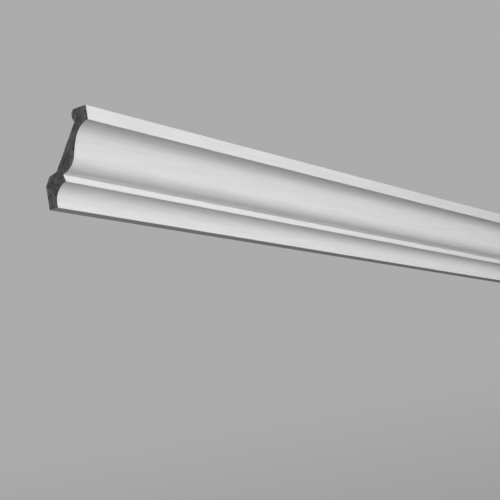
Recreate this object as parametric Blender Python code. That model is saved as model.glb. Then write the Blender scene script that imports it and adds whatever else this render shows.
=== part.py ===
"""One length of cornice moulding: a single section run straight and cut square at both ends.

Metres, +Z up. X runs along the length, Y into the wall and Z up to the ceiling.
The origin is at the middle of the flat that lies on the wall, half way along the length.
The section is worked out in points (out, down): out from the wall and down from the ceiling.
"""

import math

import bmesh
import bpy
from mathutils import Vector

LENGTH = 1.100
DROP = 0.080
PROJECTION = 0.0539

# Front of the section, from the ceiling down
TOP_FILLET = 0.0133
TOP_SOFFIT = 0.0017
COVE_START = math.radians(17.5)
COVE_END = math.radians(64.4)
COVE_RADIUS = 0.0212
EASE_RADIUS = 0.0747
NOSE_RADIUS = 0.0178
NOSE_OUT = 0.0200
MID_FILLET = 0.0068
MID_FILLET_LEAN = 0.0018
LOWER_SOFFIT = 0.0013
HOLLOW_HEIGHT = 0.0201
HOLLOW_RADIUS = 0.0178
FOOT_THICKNESS = 0.0095

# Back of the section, which stands clear of the corner of the room
CEILING_CONTACT = 0.0137
LEG_BEVEL = 0.0032
LEG_DEPTH = 0.0163
LEG_TAPER_START = 0.0066
LEG_WAIST = 0.0147
WEB_BACKING_TOP = 0.0117
WEB_BACKING_FOOT = 0.0080
SHOULDER_SLOPE = math.radians(16.5)
FOOT_BEVEL_OUT = 0.0049
FOOT_BEVEL_UP = 0.0076
WALL_CONTACT = 0.0212

ARRIS_ROUND = 0.0004
INNER_ROUND = 0.0006
BACK_ROUND = 0.0020

ARC_TOLERANCE = 0.00001
WELD_DISTANCE = 0.00001
SMOOTH_ANGLE = math.radians(30)

NAME = "cornice_moulding"
WHITE = (0.80, 0.80, 0.79, 1.0)
ROUGHNESS = 0.55

OUT = Vector((1, 0))
DOWN = Vector((0, 1))


def arc(centre, start, end):
    """Points from start to end about centre, the shorter way round."""
    radius = (start - centre).length
    first = math.atan2(start.y - centre.y, start.x - centre.x)
    last = math.atan2(end.y - centre.y, end.x - centre.x)
    sweep = math.remainder(last - first, math.tau)
    facet = 2 * math.acos(1 - ARC_TOLERANCE / radius)
    steps = max(2, math.ceil(abs(sweep) / facet))
    angles = [first + sweep * i / steps for i in range(steps + 1)]
    return [centre + radius * Vector((math.cos(a), math.sin(a))) for a in angles]


def meeting(a, radius_a, b, radius_b):
    """The point at both radii from a and b, on the down side when b is further out than a."""
    gap = b - a
    along = (gap.length_squared + radius_a**2 - radius_b**2) / (2 * gap.length)
    aside = math.sqrt(radius_a**2 - along**2)
    way = gap.normalized()
    return a + way * along + Vector((-way.y, way.x)) * aside


def crossing(a, way_a, b, way_b):
    """Where the line through a crosses the line through b."""
    return a + way_a * ((b - a).cross(way_b) / way_a.cross(way_b))


def rounded(before, corner, after, radius):
    """The corner as an arc of the radius, or of the largest that half of each side has room for."""
    back, on = before - corner, after - corner
    half = back.angle(on) / 2
    reach = min(radius / math.tan(half), back.length / 2, on.length / 2)
    back.normalize()
    on.normalize()
    centre = corner + (back + on).normalized() * (reach / math.cos(half))
    return arc(centre, corner + back * reach, corner + on * reach)


def ogee(top, bottom):
    """The cove from top, its easy lower part, and the nose that ends at bottom, each tangent to the next."""
    cove = top + COVE_RADIUS * Vector((math.sin(COVE_START), math.cos(COVE_START)))
    inward = -Vector((math.sin(COVE_END), math.cos(COVE_END)))
    cove_end = cove + COVE_RADIUS * inward
    ease = cove_end - EASE_RADIUS * inward
    nose = meeting(ease, EASE_RADIUS + NOSE_RADIUS, bottom, NOSE_RADIUS)
    ease_end = nose + (ease - nose).normalized() * NOSE_RADIUS
    upper = arc(cove, top, cove_end)[:-1] + arc(ease, cove_end, ease_end)[:-1]
    return upper + arc(nose, ease_end, bottom)


def run(points, first_round, last_round):
    """The points with the rounding of each, which only the first and the last have."""
    rounds = [first_round] + [0] * (len(points) - 2) + [last_round]
    return list(zip(points, rounds))


def ogee_ends():
    """Where the ogee leaves the top soffit and where it meets the middle fillet."""
    top = OUT * (PROJECTION - TOP_SOFFIT) + DOWN * TOP_FILLET
    foot = OUT * NOSE_OUT + DOWN * (DROP - HOLLOW_HEIGHT - MID_FILLET)
    return top, foot


def front():
    """The face of the section from the ceiling to its foot, as (point, radius of its rounding)."""
    ogee_top, ogee_foot = ogee_ends()
    fillet_foot = ogee_top + OUT * TOP_SOFFIT
    mid_foot = ogee_foot + OUT * MID_FILLET_LEAN + DOWN * MID_FILLET
    hollow_top = mid_foot - OUT * LOWER_SOFFIT
    foot = OUT * FOOT_THICKNESS + DOWN * DROP
    hollow = arc(meeting(foot, HOLLOW_RADIUS, hollow_top, HOLLOW_RADIUS), hollow_top, foot)
    return (
        run([OUT * PROJECTION, fillet_foot], ARRIS_ROUND, ARRIS_ROUND)
        + run(ogee(ogee_top, ogee_foot), INNER_ROUND, INNER_ROUND)
        + [(mid_foot, ARRIS_ROUND)]
        + run(hollow, INNER_ROUND, ARRIS_ROUND)
    )


def back():
    """The back of the section from its foot to the ceiling, as (point, radius of its rounding)."""
    ogee_top, ogee_foot = ogee_ends()
    chord = (ogee_foot - ogee_top).normalized()
    behind = Vector((-chord.y, chord.x))
    web_top = ogee_top + behind * WEB_BACKING_TOP
    web_foot = ogee_foot + behind * WEB_BACKING_FOOT
    web = web_foot - web_top
    wall_top = DOWN * (DROP - WALL_CONTACT)
    shoulder = wall_top + OUT * FOOT_BEVEL_OUT - DOWN * FOOT_BEVEL_UP
    shoulder_way = OUT * math.cos(SHOULDER_SLOPE) - DOWN * math.sin(SHOULDER_SLOPE)
    leg_back = OUT * (PROJECTION - LEG_DEPTH)
    return [
        (DOWN * DROP, 0),
        (wall_top, BACK_ROUND),
        (shoulder, BACK_ROUND),
        (crossing(web_top, web, shoulder, shoulder_way), 0),
        (crossing(web_top, web, OUT * (PROJECTION - LEG_WAIST), DOWN), 0),
        (leg_back + DOWN * LEG_TAPER_START, BACK_ROUND),
        (leg_back + DOWN * LEG_BEVEL, BACK_ROUND),
        (OUT * (PROJECTION - CEILING_CONTACT), 0),
    ]


def outline():
    """The closed section as points (y, z), wall flat at y = 0 and centred on z = 0."""
    corners = front() + back()
    befores = corners[-1:] + corners[:-1]
    afters = corners[1:] + corners[:1]
    points = []
    for (before, _), (corner, radius), (after, _) in zip(befores, corners, afters):
        points += rounded(before, corner, after, radius) if radius else [corner]
    ceiling = DROP - WALL_CONTACT / 2
    return [Vector((-p.x, ceiling - p.y)) for p in points]


def extruded(name, points, length, collection):
    """A closed mesh of the points (y, z) run half the length each way along X."""
    curve = bpy.data.curves.new(name, "CURVE")
    curve.dimensions = "2D"
    curve.fill_mode = "BOTH"
    curve.extrude = length / 2
    spline = curve.splines.new("POLY")
    spline.points.add(len(points) - 1)
    for target, point in zip(spline.points, points):
        target.co = (point.x, point.y, 0, 1)
    spline.use_cyclic_u = True
    guide = bpy.data.objects.new(name + "_outline", curve)
    guide.rotation_euler = (math.pi / 2, 0, math.pi / 2)
    collection.objects.link(guide)
    bpy.context.view_layer.update()

    mesh = bpy.data.meshes.new_from_object(guide.evaluated_get(bpy.context.evaluated_depsgraph_get()))
    welded = bmesh.new()
    welded.from_mesh(mesh)
    bmesh.ops.remove_doubles(welded, verts=welded.verts, dist=WELD_DISTANCE)
    welded.to_mesh(mesh)
    welded.free()
    mesh.shade_smooth()
    mesh.set_sharp_from_angle(angle=SMOOTH_ANGLE)
    part = bpy.data.objects.new(name, mesh)
    part.matrix_world = guide.matrix_world
    collection.objects.link(part)
    bpy.data.objects.remove(guide)
    return part


def white_primer():
    material = bpy.data.materials.new("white_primer")
    material.use_nodes = True
    shader = material.node_tree.nodes["Principled BSDF"]
    shader.inputs["Base Color"].default_value = WHITE
    shader.inputs["Roughness"].default_value = ROUGHNESS
    shader.inputs["Metallic"].default_value = 0.0
    return material


def main():
    for old in list(bpy.data.objects):
        bpy.data.objects.remove(old)
    collection = bpy.data.collections.new("cornice_moulding_length")
    bpy.context.scene.collection.children.link(collection)
    moulding = extruded(NAME, outline(), LENGTH, collection)
    moulding.data.materials.clear()
    moulding.data.materials.append(white_primer())


main()
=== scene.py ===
"""The cornice moulding length as it looks: white primed face, bare drawn back and dark sawn ends.

Metres, in the frame's axes: X along the length, Y into the wall, Z up to the ceiling.
The section is read from the frame's solid, as points (y, z).
"""

import math

import bmesh
import bpy
import numpy as np
from mathutils import Matrix, Vector, geometry, noise

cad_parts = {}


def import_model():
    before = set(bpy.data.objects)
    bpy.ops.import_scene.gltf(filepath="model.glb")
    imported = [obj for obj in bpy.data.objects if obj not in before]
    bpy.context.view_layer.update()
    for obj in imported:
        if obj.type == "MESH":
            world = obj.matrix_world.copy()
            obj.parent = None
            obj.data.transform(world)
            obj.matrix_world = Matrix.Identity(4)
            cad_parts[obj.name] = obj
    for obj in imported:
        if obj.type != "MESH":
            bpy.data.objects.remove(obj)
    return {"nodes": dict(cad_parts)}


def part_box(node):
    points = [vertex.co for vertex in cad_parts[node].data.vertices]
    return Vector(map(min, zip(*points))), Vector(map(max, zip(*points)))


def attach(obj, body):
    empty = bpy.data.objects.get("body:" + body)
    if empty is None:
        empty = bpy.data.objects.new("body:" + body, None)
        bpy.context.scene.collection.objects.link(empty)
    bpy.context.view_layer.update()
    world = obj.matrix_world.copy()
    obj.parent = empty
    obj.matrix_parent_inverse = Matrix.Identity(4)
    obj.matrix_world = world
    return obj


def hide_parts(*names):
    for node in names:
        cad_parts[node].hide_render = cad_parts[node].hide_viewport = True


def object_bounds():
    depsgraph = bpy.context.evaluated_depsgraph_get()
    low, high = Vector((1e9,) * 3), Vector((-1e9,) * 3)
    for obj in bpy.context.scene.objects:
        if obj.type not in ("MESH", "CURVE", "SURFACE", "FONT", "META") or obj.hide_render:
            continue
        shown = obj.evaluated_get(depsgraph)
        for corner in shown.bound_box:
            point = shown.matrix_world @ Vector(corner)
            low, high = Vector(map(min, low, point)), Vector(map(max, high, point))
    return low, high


NODE = "cornice_moulding"
WELD = 0.000001

# The section's points and the rings along the length
CORNER_TURN = math.radians(25)
CORNER_REACH = 0.0003
CORNER_STEPS = 3
OUTLINE_SPACING = 0.0009
RING_SPACING = 0.008
SMOOTH_ANGLE = math.radians(40)

# The back's sides face the wall at all, or the ceiling almost squarely
TO_WALL = 0.05
TO_CEILING = 0.95

# Relief of the drawn skin, all of it below the solid's surface
FACE_LINE_DEPTH = 0.000008
BACK_LINE_DEPTH = 0.000035
LINE_WIDTH = 0.0018
WAVE_DEPTH = 0.00006
WAVE_LENGTH = 0.16
WAVE_WIDTH = 0.03
WAVE_SEED = 7.0

# Relief of the sawn ends; the jitter of its points and their margin to the edge are shares of the spacing
SAWN_SPACING = 0.00045
SAWN_JITTER = 0.3
SAWN_MARGIN = 0.8
SAWN_EDGE = 0.00012
STREAK_DEPTH = 0.00012
STREAK_WIDTH = 0.0010
STREAK_LENGTH = 0.0065
CELL_DEPTH = 0.00008
CELL_SIZE = 0.0016
CELL_SHARE = 0.4
JITTER_SEED = 5
LEFT_SEED = 11.0
RIGHT_SEED = 23.0

# The order of the materials on the mesh
FACE, BACK, SAWN = range(3)

# Colours and roughnesses, each spread over the middle of its noise's range
PRIMER_COLOURS = ((0.70, 0.70, 0.695), (0.755, 0.755, 0.75))
PRIMER_ROUGHNESS = (0.34, 0.44)
PRIMER_BUMP = 0.000012
BARE_COLOURS = ((0.60, 0.60, 0.59), (0.70, 0.70, 0.69))
BARE_ROUGHNESS = (0.55, 0.72)
BARE_GRAIN_BUMP = 0.00003
BARE_LINE_BUMP = 0.00006
CORE_GREYS = (0.12, 0.42)
CORE_ROUGHNESS = (0.75, 0.95)
CORE_CELL_BUMP = 0.00012
NOISE_MIDDLE = (0.3, 0.7)
MOTTLE_MIDDLE = (0.40, 0.60)

# Streaks in the core: how fine they are, upright in the foot and along the web above it
STREAKS = (300, 620, 150)
WEB_LEAN = math.radians(35)
WEB_FOOT = (0.016, 0.026)
BLOTCH_SHARE = 0.45

# Camera: its lens and sensor in millimetres, and where it stood and looked for the photograph
LENS = 115.4
SENSOR = 36.0
CAMERA_AT = Vector((-1.6598, -0.7787, -0.3240))
CAMERA_FORWARD = Vector((0.867384, 0.463318, 0.181605))
CAMERA_UP = Vector((-0.075116, -0.238854, 0.968146))

# Floor, with a faint glow of its own
FLOOR_DROP = 4.2
FLOOR_RADIUS = 60.0
FLOOR_GREY = 0.50
FLOOR_GLOW = 0.28
FLOOR_ROUGHNESS = 0.9

# Sky, from straight down at 0 to straight up at 1, and the share of it that lights the part
HORIZON = (0.48, 0.54)
SKY_GREYS = (0.31, 0.41)
SKY_LIGHT = 0.20

# Soft lights: name, place, what it faces, size and power in watts
SEEN_FACE = (-0.25, 0, 0.03)
LIGHTS = (
    ("key", (-0.52, -2.05, 0.60), SEEN_FACE, (2.0, 1.3), 49),
    ("low_fill", (-0.02, -1.40, -1.66), SEEN_FACE, (1.2, 1.0), 4),
    ("left_fill", (-1.62, -0.37, -1.66), SEEN_FACE, (1.2, 1.0), 6),
    ("right_fill", (1.79, -0.74, -0.35), SEEN_FACE, (1.2, 1.0), 2.5),
    ("back", (0.4, 2.6, 1.8), (0, 0, 0), (2.4, 1.6), 85),
    ("right_end", (2.6, 0.6, 0.5), (0.5, 0, 0), (1.2, 1.0), 22),
)


def end_outline(solid):
    """The solid's closed section as points (y, z) in order, read from its end at highest X."""
    mesh = bmesh.new()
    mesh.from_mesh(solid.data)
    bmesh.ops.remove_doubles(mesh, verts=mesh.verts, dist=WELD)
    end = max(v.co.x for v in mesh.verts) - WELD
    caps = {f for f in mesh.faces if all(v.co.x > end for v in f.verts)}
    ways = {}
    for edge in mesh.edges:
        if len(caps.intersection(edge.link_faces)) == 1:
            a, b = edge.verts
            ways.setdefault(a, []).append(b)
            ways.setdefault(b, []).append(a)
    start = next(iter(ways))
    before, here = start, ways[start][0]
    loop = [Vector(start.co.yz)]
    while here is not start:
        loop.append(Vector(here.co.yz))
        before, here = here, next(v for v in ways[here] if v is not before)
    mesh.free()
    area = sum(a.cross(b) for a, b in zip(loop, loop[1:] + loop[:1]))
    return loop if area > 0 else loop[::-1]


def softened(loop):
    """The section with each corner that the solid has sharp taken off by a small curve."""
    points = []
    for before, corner, after in zip(loop[-1:] + loop[:-1], loop, loop[1:] + loop[:1]):
        back, on = before - corner, after - corner
        if math.pi - back.angle(on) < CORNER_TURN:
            points.append(corner)
            continue
        start = corner + back.normalized() * min(CORNER_REACH, back.length / 3)
        end = corner + on.normalized() * min(CORNER_REACH, on.length / 3)
        for i in range(CORNER_STEPS + 1):
            share = i / CORNER_STEPS
            points.append(start.lerp(corner, share).lerp(corner.lerp(end, share), share))
    return points


def spaced(loop):
    """The section with its long sides divided, so that none is over the outline spacing."""
    points = []
    for a, b in zip(loop, loop[1:] + loop[:1]):
        parts = math.ceil((b - a).length / OUTLINE_SPACING)
        points += [a.lerp(b, i / parts) for i in range(parts)]
    return np.array(points)


def outward(points):
    """Unit normals of a section that runs anticlockwise, at its points."""
    along = np.roll(points, -1, 0) - np.roll(points, 1, 0)
    normals = np.column_stack([along[:, 1], -along[:, 0]])
    return normals / np.linalg.norm(normals, axis=1)[:, None]


def is_back(points):
    """For each side of the section, whether it is on the back, which the primer doesn't reach."""
    sides = np.roll(points, -1, 0) - points
    normals = np.column_stack([sides[:, 1], -sides[:, 0]])
    normals /= np.linalg.norm(normals, axis=1)[:, None]
    return (normals[:, 0] > TO_WALL) | (normals[:, 1] > TO_CEILING)


def skin_depths(points, back, xs):
    """How far each point of each ring lies below the solid's surface."""
    around = np.concatenate([[0], np.cumsum(np.linalg.norm(np.diff(points, axis=0), axis=1))])
    depth_of = np.where(back, BACK_LINE_DEPTH, FACE_LINE_DEPTH)
    lines = np.array([0.5 + 0.5 * noise.noise((s / LINE_WIDTH, 0.0, 0.0)) for s in around])
    depths = np.tile(lines * depth_of, (len(xs), 1))
    for i, x in enumerate(xs):
        for j, s in enumerate(around):
            wave = noise.noise((x / WAVE_LENGTH, s / WAVE_WIDTH, WAVE_SEED))
            depths[i, j] += WAVE_DEPTH * (0.5 + 0.5 * wave)
    return depths


def inside(points, loop):
    """Whether each of the points is inside the loop, by counting the sides crossed on the way out."""
    a, b = loop[None, :, :], np.roll(loop, -1, 0)[None, :, :]
    y, z = points[:, None, 0], points[:, None, 1]
    spans = (a[..., 1] > z) != (b[..., 1] > z)
    rise = np.where(b[..., 1] == a[..., 1], 1.0, b[..., 1] - a[..., 1])
    cut = a[..., 0] + (z - a[..., 1]) * (b[..., 0] - a[..., 0]) / rise
    return (spans & (y < cut)).sum(1) % 2 == 1


def clear_of(points, loop, gap):
    """Whether each of the points is at least the gap away from the loop's points."""
    nearest = np.full(len(points), np.inf)
    for p in loop:
        nearest = np.minimum(nearest, np.hypot(points[:, 0] - p[0], points[:, 1] - p[1]))
    return nearest > gap


def sawn_points(loop):
    """A jittered grid of points inside the loop, a little clear of it."""
    low, high = loop.min(0), loop.max(0)
    rows = np.arange(low[1], high[1], SAWN_SPACING)
    columns = np.arange(low[0], high[0], SAWN_SPACING)
    grid = np.array([(y, z) for z in rows for y in columns])
    random = np.random.default_rng(JITTER_SEED)
    grid += random.uniform(-SAWN_JITTER, SAWN_JITTER, grid.shape) * SAWN_SPACING
    grid = grid[inside(grid, loop)]
    return grid[clear_of(grid, loop, SAWN_SPACING * SAWN_MARGIN)]


def sawn_depth(y, z, seed):
    """Depth of the sawn surface: streaks left by the blade, and opened cells of the foam."""
    streak = noise.noise((y / STREAK_WIDTH, z / STREAK_LENGTH, seed))
    cell = noise.cell_vector((y / CELL_SIZE, z / CELL_SIZE, seed)).x
    blend = noise.noise((y / CELL_SIZE, z / CELL_SIZE, seed + 3.0))
    opened = max(0.0, CELL_SHARE * cell + blend)
    return STREAK_DEPTH * (0.5 + 0.5 * streak) + CELL_DEPTH * opened


def add_end(mesh, ring, at, inward, seed):
    """Closes the ring of vertices with a sawn face, whose relief goes inward along X."""
    loop = np.array([v.co.yz for v in ring])
    inner = sawn_points(loop)
    flat = [Vector(p) for p in np.vstack([loop, inner])]
    sides = [(i, (i + 1) % len(ring)) for i in range(len(ring))]
    triangles = geometry.delaunay_2d_cdt(flat, sides, [], 1, WELD)[2]
    verts = list(ring)
    for y, z in inner:
        verts.append(mesh.verts.new((at + inward * sawn_depth(y, z, seed), y, z)))
    for triangle in triangles:
        mesh.faces.new([verts[i] for i in triangle]).material_index = SAWN


def dressed_length(solid):
    """The whole length as one closed mesh inside the solid."""
    points = spaced(softened(end_outline(solid)))
    back = is_back(points)
    normals = outward(points)
    low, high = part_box(NODE)
    count = math.ceil((high.x - low.x) / RING_SPACING)
    xs = np.linspace(low.x + SAWN_EDGE, high.x - SAWN_EDGE, count + 1)
    depths = skin_depths(points, back, xs)

    mesh = bmesh.new()
    rings = []
    for x, depth in zip(xs, depths):
        ring = points - normals * depth[:, None]
        rings.append([mesh.verts.new((x, y, z)) for y, z in ring])
    for at, depth, place in ((low.x, depths[0], 0), (high.x, depths[-1], len(rings) + 1)):
        ring = points - normals * (depth + SAWN_EDGE)[:, None]
        rings.insert(place, [mesh.verts.new((at, y, z)) for y, z in ring])
    for ring, further in zip(rings, rings[1:]):
        for i, side in enumerate(back):
            j = (i + 1) % len(points)
            face = mesh.faces.new((ring[i], ring[j], further[j], further[i]))
            face.material_index = BACK if side else FACE
    add_end(mesh, rings[0], low.x, 1, LEFT_SEED)
    add_end(mesh, rings[-1], high.x, -1, RIGHT_SEED)
    bmesh.ops.recalc_face_normals(mesh, faces=mesh.faces)

    data = bpy.data.meshes.new("cornice_length")
    mesh.to_mesh(data)
    mesh.free()
    data.shade_smooth()
    data.set_sharp_from_angle(angle=SMOOTH_ANGLE)
    piece = bpy.data.objects.new("cornice_length", data)
    bpy.context.scene.collection.objects.link(piece)
    return piece


def node(tree, kind, at, **values):
    """A node of the kind with its named inputs or properties set."""
    made = tree.nodes.new(kind)
    made.location = at
    for name, value in values.items():
        label = name.replace("_", " ")
        if label in made.inputs:
            made.inputs[label].default_value = value
        else:
            setattr(made, name, value)
    return made


def new_material(name):
    material = bpy.data.materials.new(name)
    material.use_nodes = True
    return material, material.node_tree, material.node_tree.nodes["Principled BSDF"]


def stretched(tree, scale, at, lean=0.0):
    """Object coordinates in metres, turned about the length by the lean and then scaled."""
    place = node(tree, "ShaderNodeTexCoord", (at[0] - 400, at[1]))
    mapping = node(tree, "ShaderNodeMapping", (at[0] - 200, at[1]), vector_type="TEXTURE")
    mapping.inputs["Rotation"].default_value = (lean, 0, 0)
    mapping.inputs["Scale"].default_value = [1 / s for s in scale]
    tree.links.new(place.outputs["Object"], mapping.inputs["Vector"])
    return mapping.outputs["Vector"]


def noise_of(tree, scale, at, lean=0.0, **values):
    """A noise texture with the scale's number of grains to the metre along X, Y and Z."""
    texture = node(tree, "ShaderNodeTexNoise", at, Scale=1.0, **values)
    tree.links.new(stretched(tree, scale, at, lean), texture.inputs["Vector"])
    return texture.outputs["Fac"]


def ramp(tree, factor, at, colours, span=NOISE_MIDDLE):
    """A ramp from the first colour to the second over the span of the factor."""
    made = node(tree, "ShaderNodeValToRGB", at)
    for element, place, colour in zip(made.color_ramp.elements, span, colours):
        element.position = place
        element.color = (*colour, 1.0)
    tree.links.new(factor, made.inputs["Fac"])
    return made.outputs["Color"]


def grey_ramp(tree, factor, at, greys, span=NOISE_MIDDLE):
    """A ramp from the first grey to the second over the span of the factor."""
    return ramp(tree, factor, at, [(grey, grey, grey) for grey in greys], span)


def bump(tree, height, at, depth, before=None):
    """A bump of the height, whose full range is the depth in metres."""
    made = node(tree, "ShaderNodeBump", at, Distance=depth, Strength=1.0)
    tree.links.new(height, made.inputs["Height"])
    if before:
        tree.links.new(before, made.inputs["Normal"])
    return made.outputs["Normal"]


def primed_face():
    """Factory primer: matte white, with faint drawn streaks and a fine sprayed grain."""
    material, tree, shader = new_material("primed_face")
    streaks = noise_of(tree, (14, 330, 330), (-900, 300), Detail=4.0)
    colour = ramp(tree, streaks, (-500, 300), PRIMER_COLOURS)
    tree.links.new(colour, shader.inputs["Base Color"])
    patches = noise_of(tree, (40, 160, 160), (-900, 0), Detail=4.0)
    rough = grey_ramp(tree, patches, (-500, 0), PRIMER_ROUGHNESS)
    tree.links.new(rough, shader.inputs["Roughness"])
    grain = noise_of(tree, (1500, 1500, 1500), (-900, -300), Detail=2.0)
    lines = noise_of(tree, (8, 900, 900), (-900, -600), Detail=2.0)
    fine = bump(tree, grain, (-500, -300), PRIMER_BUMP)
    tree.links.new(bump(tree, lines, (-300, -450), PRIMER_BUMP, fine), shader.inputs["Normal"])
    return material


def bare_back():
    """The foam plastic as it left the die: a duller white with long drawn lines."""
    material, tree, shader = new_material("bare_back")
    streaks = noise_of(tree, (3, 300, 300), (-900, 300), Detail=5.0)
    colour = ramp(tree, streaks, (-500, 300), BARE_COLOURS)
    tree.links.new(colour, shader.inputs["Base Color"])
    patches = noise_of(tree, (60, 200, 200), (-900, 0), Detail=4.0)
    rough = grey_ramp(tree, patches, (-500, 0), BARE_ROUGHNESS)
    tree.links.new(rough, shader.inputs["Roughness"])
    grain = noise_of(tree, (700, 1100, 1100), (-900, -300), Detail=3.0)
    lines = noise_of(tree, (4, 600, 600), (-900, -600), Detail=4.0)
    fine = bump(tree, grain, (-500, -300), BARE_GRAIN_BUMP)
    tree.links.new(bump(tree, lines, (-300, -450), BARE_LINE_BUMP, fine), shader.inputs["Normal"])
    return material


def core_streaks(tree):
    """Streaks that stand upright in the foot and lean along the web above it."""
    low = noise_of(tree, STREAKS, (-1300, 800), Detail=3.0, Roughness=0.6)
    high = noise_of(tree, STREAKS, (-1300, 500), lean=WEB_LEAN, Detail=3.0, Roughness=0.6)
    place = node(tree, "ShaderNodeTexCoord", (-1700, 1100))
    parts = node(tree, "ShaderNodeSeparateXYZ", (-1500, 1100))
    tree.links.new(place.outputs["Object"], parts.inputs["Vector"])
    rise = node(tree, "ShaderNodeMapRange", (-1300, 1100), From_Min=WEB_FOOT[0], From_Max=WEB_FOOT[1])
    tree.links.new(parts.outputs["Z"], rise.inputs["Value"])
    streaks = node(tree, "ShaderNodeMix", (-1000, 700))
    tree.links.new(rise.outputs["Result"], streaks.inputs["Factor"])
    tree.links.new(low, streaks.inputs["A"])
    tree.links.new(high, streaks.inputs["B"])
    return streaks.outputs["Result"]


def sawn_end():
    """The core where it is cut: dark grey, streaked by the blade and mottled by the foam."""
    material, tree, shader = new_material("sawn_end")
    blotches = noise_of(tree, (90, 240, 130), (-1300, 200), Detail=3.0, Roughness=0.6)
    mottle = node(tree, "ShaderNodeMix", (-800, 500), Factor=BLOTCH_SHARE)
    tree.links.new(core_streaks(tree), mottle.inputs["A"])
    tree.links.new(blotches, mottle.inputs["B"])
    colour = grey_ramp(tree, mottle.outputs["Result"], (-600, 400), CORE_GREYS, MOTTLE_MIDDLE)
    tree.links.new(colour, shader.inputs["Base Color"])
    patches = noise_of(tree, (300, 500, 500), (-1100, -100), Detail=2.0)
    rough = grey_ramp(tree, patches, (-700, -100), CORE_ROUGHNESS)
    tree.links.new(rough, shader.inputs["Roughness"])
    cells = node(tree, "ShaderNodeTexVoronoi", (-900, -400), Scale=1.0)
    tree.links.new(stretched(tree, (2600, 2600, 1700), (-900, -400)), cells.inputs["Vector"])
    relief = bump(tree, cells.outputs["Distance"], (-500, -400), CORE_CELL_BUMP)
    tree.links.new(relief, shader.inputs["Normal"])
    return material


def floor(lowest):
    """A plain pale floor, low enough for a view from straight below, that throws no light upwards."""
    mesh = bmesh.new()
    bmesh.ops.create_circle(mesh, cap_ends=True, segments=96, radius=FLOOR_RADIUS)
    data = bpy.data.meshes.new("floor")
    mesh.to_mesh(data)
    mesh.free()
    plane = bpy.data.objects.new("floor", data)
    plane.location.z = lowest - FLOOR_DROP
    material, tree, shader = new_material("floor")
    shader.inputs["Base Color"].default_value = (FLOOR_GREY, FLOOR_GREY, FLOOR_GREY, 1)
    shader.inputs["Roughness"].default_value = FLOOR_ROUGHNESS
    shader.inputs["Emission Color"].default_value = (FLOOR_GLOW, FLOOR_GLOW, FLOOR_GLOW, 1)
    shader.inputs["Emission Strength"].default_value = 1.0
    plane.visible_diffuse = False
    plane.visible_glossy = False
    data.materials.append(material)
    bpy.context.scene.collection.objects.link(plane)


def softbox(name, at, target, size, power):
    """An area light at the place, facing the target, that the camera doesn't see."""
    data = bpy.data.lights.new(name, "AREA")
    data.shape = "RECTANGLE"
    data.size, data.size_y = size
    data.energy = power
    lamp = bpy.data.objects.new(name, data)
    lamp.location = at
    lamp.rotation_euler = (Vector(target) - Vector(at)).to_track_quat("-Z", "Y").to_euler()
    lamp.visible_camera = False
    bpy.context.scene.collection.objects.link(lamp)


def sky():
    """A pale sky that lights less than the camera sees of it."""
    world = bpy.data.worlds.new("studio")
    bpy.context.scene.world = world
    world.use_nodes = True
    tree = world.node_tree
    background = tree.nodes["Background"]
    place = node(tree, "ShaderNodeTexCoord", (-1000, 0))
    parts = node(tree, "ShaderNodeSeparateXYZ", (-800, 0))
    tree.links.new(place.outputs["Generated"], parts.inputs["Vector"])
    height = node(tree, "ShaderNodeMapRange", (-600, 0), From_Min=-1.0, From_Max=1.0)
    tree.links.new(parts.outputs["Z"], height.inputs["Value"])
    shades = grey_ramp(tree, height.outputs["Result"], (-400, 0), SKY_GREYS, HORIZON)
    tree.links.new(shades, background.inputs["Color"])
    ray = node(tree, "ShaderNodeLightPath", (-600, 300))
    strength = node(tree, "ShaderNodeMapRange", (-400, 300), To_Min=SKY_LIGHT, To_Max=1.0)
    tree.links.new(ray.outputs["Is Camera Ray"], strength.inputs["Value"])
    tree.links.new(strength.outputs["Result"], background.inputs["Strength"])


def camera():
    """The camera at the photograph's place and angle."""
    data = bpy.data.cameras.new("camera")
    data.lens = LENS
    data.sensor_width = SENSOR
    data.clip_start = 0.05
    data.clip_end = 200.0
    view = bpy.data.objects.new("camera", data)
    right = CAMERA_FORWARD.cross(CAMERA_UP)
    turn = Matrix((right, CAMERA_UP, -CAMERA_FORWARD)).transposed()
    view.matrix_world = Matrix.Translation(CAMERA_AT) @ turn.to_4x4()
    bpy.context.scene.collection.objects.link(view)
    bpy.context.scene.camera = view


def main():
    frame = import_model()
    cad_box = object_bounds()
    bpy.context.scene.view_settings.view_transform = "Standard"
    camera()
    for light in LIGHTS:
        softbox(*light)
    sky()
    floor(cad_box[0].z)
    piece = dressed_length(frame["nodes"][NODE])
    for material in (primed_face(), bare_back(), sawn_end()):
        piece.data.materials.append(material)
    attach(piece, "root")
    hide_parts(NODE)


main()
